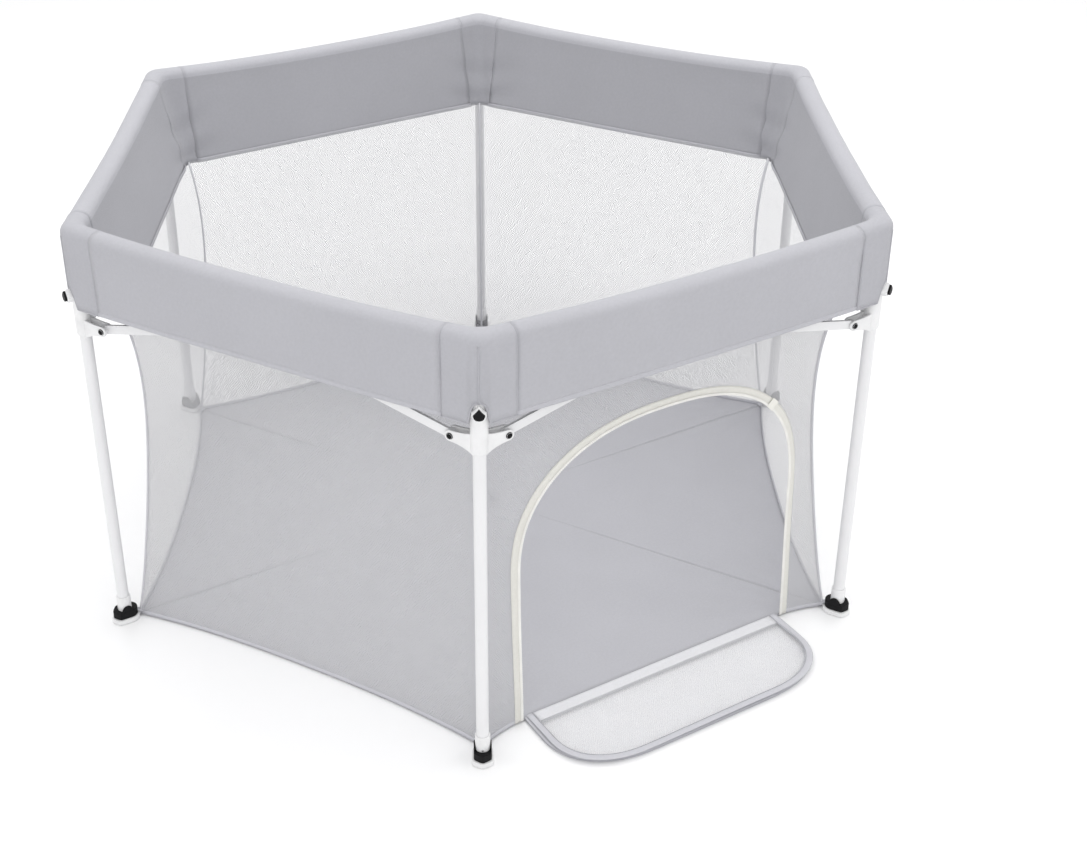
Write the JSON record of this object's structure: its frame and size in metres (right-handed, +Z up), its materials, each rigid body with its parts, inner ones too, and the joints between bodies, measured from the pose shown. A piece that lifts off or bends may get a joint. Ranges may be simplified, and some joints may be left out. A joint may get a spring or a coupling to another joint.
{
  "type": "hexagonal pop-up playpen",
  "caption": "Free-standing hexagonal playpen: tube legs joined by folding scissor bars, a fabric rim cover, mesh walls, a fabric floor and a zipped arched door.",
  "frame": {"origin": "middle of the hexagonal floor, on the ground", "axes": "+Z up; the arched door faces -Y, and a leg stands on each of +X and -X"},
  "size_m": [1.326, 1.2414, 0.672],
  "materials": {
    "frame_tube": "white powder coat, satin",
    "hub_plastic": "white moulded plastic, satin",
    "foot_plastic": "black moulded plastic on a white sole",
    "button_plastic": "black moulded plastic",
    "rim_fabric": "light grey plain-weave polyester, matt",
    "mesh_fabric": "pale knitted mesh netting",
    "floor_fabric": "light grey coated polyester, matt",
    "flap_fabric": "pale mesh with a grey woven binding",
    "zip_tape": "off-white zip tape and coil",
    "zip_pull": "white moulded zip pull"
  },
  "bodies": {
    "leg_1": {"leg_tube_1": "frame_tube", "top_hub_1": "hub_plastic", "foot_1": "foot_plastic", "rim_cover": "rim_fabric", "door_panel": "mesh_fabric", "zipper_track": "zip_tape"},
    "leg_2": {"leg_tube_2": "frame_tube", "top_hub_2": "hub_plastic", "foot_2": "foot_plastic", "mesh_panel_2": "mesh_fabric"},
    "leg_3": {"leg_tube_3": "frame_tube", "top_hub_3": "hub_plastic", "foot_3": "foot_plastic", "mesh_panel_3": "mesh_fabric"},
    "leg_4": {"leg_tube_4": "frame_tube", "top_hub_4": "hub_plastic", "foot_4": "foot_plastic", "mesh_panel_4": "mesh_fabric"},
    "leg_5": {"leg_tube_5": "frame_tube", "top_hub_5": "hub_plastic", "foot_5": "foot_plastic", "mesh_panel_5": "mesh_fabric"},
    "leg_6": {"leg_tube_6": "frame_tube", "top_hub_6": "hub_plastic", "foot_6": "foot_plastic", "mesh_panel_6": "mesh_fabric"},
    "slider_1": {"slider_1": "hub_plastic"},
    "lock_button_1": {"lock_button_1": "button_plastic"},
    "outer_bar_1": {"outer_bar_1": "frame_tube"},
    "inner_bar_1": {"inner_bar_1": "frame_tube"},
    "floor_gore_1": {"floor_gore_1": "floor_fabric"},
    "slider_2": {"slider_2": "hub_plastic"},
    "lock_button_2": {"lock_button_2": "button_plastic"},
    "outer_bar_2": {"outer_bar_2": "frame_tube"},
    "inner_bar_2": {"inner_bar_2": "frame_tube"},
    "floor_gore_2": {"floor_gore_2": "floor_fabric"},
    "slider_3": {"slider_3": "hub_plastic"},
    "lock_button_3": {"lock_button_3": "button_plastic"},
    "outer_bar_3": {"outer_bar_3": "frame_tube"},
    "inner_bar_3": {"inner_bar_3": "frame_tube"},
    "floor_gore_3": {"floor_gore_3": "floor_fabric"},
    "slider_4": {"slider_4": "hub_plastic"},
    "lock_button_4": {"lock_button_4": "button_plastic"},
    "outer_bar_4": {"outer_bar_4": "frame_tube"},
    "inner_bar_4": {"inner_bar_4": "frame_tube"},
    "floor_gore_4": {"floor_gore_4": "floor_fabric"},
    "slider_5": {"slider_5": "hub_plastic"},
    "lock_button_5": {"lock_button_5": "button_plastic"},
    "outer_bar_5": {"outer_bar_5": "frame_tube"},
    "inner_bar_5": {"inner_bar_5": "frame_tube"},
    "floor_gore_5": {"floor_gore_5": "floor_fabric"},
    "slider_6": {"slider_6": "hub_plastic"},
    "lock_button_6": {"lock_button_6": "button_plastic"},
    "outer_bar_6": {"outer_bar_6": "frame_tube"},
    "inner_bar_6": {"inner_bar_6": "frame_tube"},
    "floor_gore_6": {"floor_gore_6": "floor_fabric"},
    "door_flap_lower": {"door_flap_lower": "flap_fabric"},
    "door_flap_middle": {"door_flap_middle": "flap_fabric"},
    "door_flap_upper": {"door_flap_upper": "flap_fabric"},
    "zipper_pull": {"zipper_pull": "zip_pull"}
  },
  "joints": [
    {"name": "fold", "type": "hinge", "parent": "leg_1", "child": "outer_bar_1", "pos_m": [-0.282, -0.55426, 0.65], "axis": [0, 1, 0], "range_deg": [0, 74.45], "deforming": ["rim_cover", "door_panel", "zipper_track", "mesh_panel_2", "mesh_panel_3", "mesh_panel_4", "mesh_panel_5", "mesh_panel_6", "floor_gore_1", "floor_gore_2", "floor_gore_3", "floor_gore_4", "floor_gore_5", "floor_gore_6", "door_flap_lower", "door_flap_middle", "door_flap_upper"]},
    {"name": "inner_bar_1_pivot", "type": "hinge", "parent": "outer_bar_1", "child": "inner_bar_1", "pos_m": [0, -0.55426, 0.584], "axis": [0, 1, 0], "range_deg": [-148.92, 0]},
    {"name": "leg_2_pivot", "type": "hinge", "parent": "inner_bar_1", "child": "leg_2", "pos_m": [0.282, -0.55426, 0.65], "axis": [0, 1, 0], "range_deg": [0, 74.46]},
    {"name": "slider_2_pivot", "type": "hinge", "parent": "outer_bar_1", "child": "slider_2", "pos_m": [0.282, -0.55426, 0.518], "axis": [0, 1, 0], "range_deg": [-74.46, 0]},
    {"name": "outer_bar_2_pivot", "type": "hinge", "parent": "leg_2", "child": "outer_bar_2", "pos_m": [0.339, -0.52135, 0.65], "axis": [-0.866, 0.5, 0], "range_deg": [0, 74.46]},
    {"name": "inner_bar_2_pivot", "type": "hinge", "parent": "outer_bar_2", "child": "inner_bar_2", "pos_m": [0.48, -0.27713, 0.584], "axis": [-0.866, 0.5, 0], "range_deg": [-148.92, 0]},
    {"name": "leg_3_pivot", "type": "hinge", "parent": "inner_bar_2", "child": "leg_3", "pos_m": [0.621, -0.03291, 0.65], "axis": [-0.866, 0.5, 0], "range_deg": [0, 74.46]},
    {"name": "slider_3_pivot", "type": "hinge", "parent": "outer_bar_2", "child": "slider_3", "pos_m": [0.621, -0.03291, 0.518], "axis": [-0.866, 0.5, 0], "range_deg": [-74.46, 0]},
    {"name": "outer_bar_3_pivot", "type": "hinge", "parent": "leg_3", "child": "outer_bar_3", "pos_m": [0.621, 0.03291, 0.65], "axis": [-0.866, -0.5, 0], "range_deg": [0, 74.46]},
    {"name": "inner_bar_3_pivot", "type": "hinge", "parent": "outer_bar_3", "child": "inner_bar_3", "pos_m": [0.48, 0.27713, 0.584], "axis": [-0.866, -0.5, 0], "range_deg": [-148.92, 0]},
    {"name": "leg_4_pivot", "type": "hinge", "parent": "inner_bar_3", "child": "leg_4", "pos_m": [0.339, 0.52135, 0.65], "axis": [-0.866, -0.5, 0], "range_deg": [0, 74.46]},
    {"name": "slider_4_pivot", "type": "hinge", "parent": "outer_bar_3", "child": "slider_4", "pos_m": [0.339, 0.52135, 0.518], "axis": [-0.866, -0.5, 0], "range_deg": [-74.46, 0]},
    {"name": "inner_bar_6_pivot", "type": "hinge", "parent": "leg_1", "child": "inner_bar_6", "pos_m": [-0.339, -0.52135, 0.65], "axis": [0.866, 0.5, 0], "range_deg": [-74.46, 0]},
    {"name": "outer_bar_6_pivot", "type": "hinge", "parent": "inner_bar_6", "child": "outer_bar_6", "pos_m": [-0.48, -0.27713, 0.584], "axis": [0.866, 0.5, 0], "range_deg": [0, 148.92]},
    {"name": "leg_6_pivot", "type": "hinge", "parent": "outer_bar_6", "child": "leg_6", "pos_m": [-0.621, -0.03291, 0.65], "axis": [0.866, 0.5, 0], "range_deg": [-74.46, 0]},
    {"name": "slider_6_pivot", "type": "hinge", "parent": "inner_bar_6", "child": "slider_6", "pos_m": [-0.621, -0.03291, 0.518], "axis": [0.866, 0.5, 0], "range_deg": [0, 74.46]},
    {"name": "inner_bar_5_pivot", "type": "hinge", "parent": "leg_6", "child": "inner_bar_5", "pos_m": [-0.621, 0.03291, 0.65], "axis": [0.866, -0.5, 0], "range_deg": [-74.46, 0]},
    {"name": "outer_bar_5_pivot", "type": "hinge", "parent": "inner_bar_5", "child": "outer_bar_5", "pos_m": [-0.48, 0.27713, 0.584], "axis": [0.866, -0.5, 0], "range_deg": [0, 148.92]},
    {"name": "leg_5_pivot", "type": "hinge", "parent": "outer_bar_5", "child": "leg_5", "pos_m": [-0.339, 0.52135, 0.65], "axis": [0.866, -0.5, 0], "range_deg": [-74.46, 0]},
    {"name": "slider_5_pivot", "type": "hinge", "parent": "inner_bar_5", "child": "slider_5", "pos_m": [-0.339, 0.52135, 0.518], "axis": [0.866, -0.5, 0], "range_deg": [0, 74.46]},
    {"name": "inner_bar_4_pivot", "type": "hinge", "parent": "leg_5", "child": "inner_bar_4", "pos_m": [-0.282, 0.55426, 0.65], "axis": [0, -1, 0], "range_deg": [-74.46, 0]},
    {"name": "outer_bar_4_pivot", "type": "hinge", "parent": "inner_bar_4", "child": "outer_bar_4", "pos_m": [0, 0.55426, 0.584], "axis": [0, -1, 0], "range_deg": [0, 148.92]},
    {"name": "slider_1_pivot", "type": "hinge", "parent": "inner_bar_1", "child": "slider_1", "pos_m": [-0.282, -0.55426, 0.518], "axis": [0, 1, 0], "range_deg": [0, 74.46]},
    {"name": "floor_gore_1_lift", "type": "hinge", "parent": "leg_1", "child": "floor_gore_1", "pos_m": [0, -0.51486, 0.0015], "axis": [1, 0, 0], "range_deg": [0, 84.75]},
    {"name": "floor_gore_2_lift", "type": "hinge", "parent": "leg_2", "child": "floor_gore_2", "pos_m": [0.44588, -0.25743, 0.0015], "axis": [0.5, 0.866, 0], "range_deg": [0, 84.75]},
    {"name": "floor_gore_3_lift", "type": "hinge", "parent": "leg_3", "child": "floor_gore_3", "pos_m": [0.44588, 0.25743, 0.0015], "axis": [-0.5, 0.866, 0], "range_deg": [0, 84.75]},
    {"name": "floor_gore_4_lift", "type": "hinge", "parent": "leg_4", "child": "floor_gore_4", "pos_m": [0, 0.51486, 0.0015], "axis": [-1, 0, 0], "range_deg": [0, 84.75]},
    {"name": "floor_gore_5_lift", "type": "hinge", "parent": "leg_5", "child": "floor_gore_5", "pos_m": [-0.44588, 0.25743, 0.0015], "axis": [-0.5, -0.866, 0], "range_deg": [0, 84.75]},
    {"name": "floor_gore_6_lift", "type": "hinge", "parent": "leg_6", "child": "floor_gore_6", "pos_m": [-0.44588, -0.25743, 0.0015], "axis": [0.5, -0.866, 0], "range_deg": [0, 84.75]},
    {"name": "lock_button_1_press", "type": "slide", "parent": "slider_1", "child": "lock_button_1", "axis": [0.5, 0.866, 0], "range_m": [0, 0.003], "stiffness_N_per_m": 400},
    {"name": "lock_button_2_press", "type": "slide", "parent": "slider_2", "child": "lock_button_2", "axis": [-0.5, 0.866, 0], "range_m": [0, 0.003], "stiffness_N_per_m": 400},
    {"name": "lock_button_3_press", "type": "slide", "parent": "slider_3", "child": "lock_button_3", "axis": [-1, 0, 0], "range_m": [0, 0.003], "stiffness_N_per_m": 400},
    {"name": "lock_button_4_press", "type": "slide", "parent": "slider_4", "child": "lock_button_4", "axis": [-0.5, -0.866, 0], "range_m": [0, 0.003], "stiffness_N_per_m": 400},
    {"name": "lock_button_5_press", "type": "slide", "parent": "slider_5", "child": "lock_button_5", "axis": [0.5, -0.866, 0], "range_m": [0, 0.003], "stiffness_N_per_m": 400},
    {"name": "lock_button_6_press", "type": "slide", "parent": "slider_6", "child": "lock_button_6", "axis": [1, 0, 0], "range_m": [0, 0.003], "stiffness_N_per_m": 400},
    {"name": "door_hinge", "type": "hinge", "parent": "leg_1", "child": "door_flap_lower", "pos_m": [0, -0.51626, 0.0012], "axis": [-1, 0, 0], "range_deg": [0, 90]},
    {"name": "door_outer_fold", "type": "hinge", "parent": "door_flap_lower", "child": "door_flap_middle", "pos_m": [0, -0.66386, 0.00245], "axis": [-1, 0, 0], "range_deg": [-180.1, 0]},
    {"name": "door_inner_fold", "type": "hinge", "parent": "door_flap_middle", "child": "door_flap_upper", "pos_m": [0, -0.51626, 0.00495], "axis": [-1, 0, 0], "range_deg": [0, 180.1]},
    {"name": "zipper_pull_slide", "type": "slide", "parent": "leg_1", "child": "zipper_pull", "axis": [0, 0, 1], "range_m": [0, 0.2]}
  ],
  "couplings": [
    {"joint": "inner_bar_1_pivot", "follows": "fold", "ratio": -2},
    {"joint": "leg_2_pivot", "follows": "fold", "ratio": 1},
    {"joint": "slider_2_pivot", "follows": "fold", "ratio": -1},
    {"joint": "outer_bar_2_pivot", "follows": "fold", "ratio": 1},
    {"joint": "inner_bar_2_pivot", "follows": "fold", "ratio": -2},
    {"joint": "leg_3_pivot", "follows": "fold", "ratio": 1},
    {"joint": "slider_3_pivot", "follows": "fold", "ratio": -1},
    {"joint": "outer_bar_3_pivot", "follows": "fold", "ratio": 1},
    {"joint": "inner_bar_3_pivot", "follows": "fold", "ratio": -2},
    {"joint": "leg_4_pivot", "follows": "fold", "ratio": 1},
    {"joint": "slider_4_pivot", "follows": "fold", "ratio": -1},
    {"joint": "inner_bar_6_pivot", "follows": "fold", "ratio": -1},
    {"joint": "outer_bar_6_pivot", "follows": "fold", "ratio": 2},
    {"joint": "leg_6_pivot", "follows": "fold", "ratio": -1},
    {"joint": "slider_6_pivot", "follows": "fold", "ratio": 1},
    {"joint": "inner_bar_5_pivot", "follows": "fold", "ratio": -1},
    {"joint": "outer_bar_5_pivot", "follows": "fold", "ratio": 2},
    {"joint": "leg_5_pivot", "follows": "fold", "ratio": -1},
    {"joint": "slider_5_pivot", "follows": "fold", "ratio": 1},
    {"joint": "inner_bar_4_pivot", "follows": "fold", "ratio": -1},
    {"joint": "outer_bar_4_pivot", "follows": "fold", "ratio": 2},
    {"joint": "slider_1_pivot", "follows": "fold", "ratio": 1},
    {"joint": "floor_gore_1_lift", "follows": "fold", "ratio": 1.1382},
    {"joint": "floor_gore_2_lift", "follows": "fold", "ratio": 1.1382},
    {"joint": "floor_gore_3_lift", "follows": "fold", "ratio": 1.1382},
    {"joint": "floor_gore_4_lift", "follows": "fold", "ratio": 1.1382},
    {"joint": "floor_gore_5_lift", "follows": "fold", "ratio": 1.1382},
    {"joint": "floor_gore_6_lift", "follows": "fold", "ratio": 1.1382},
    {"joint": "door_outer_fold", "follows": "door_hinge", "ratio": -2},
    {"joint": "door_inner_fold", "follows": "door_hinge", "ratio": 2}
  ]
}
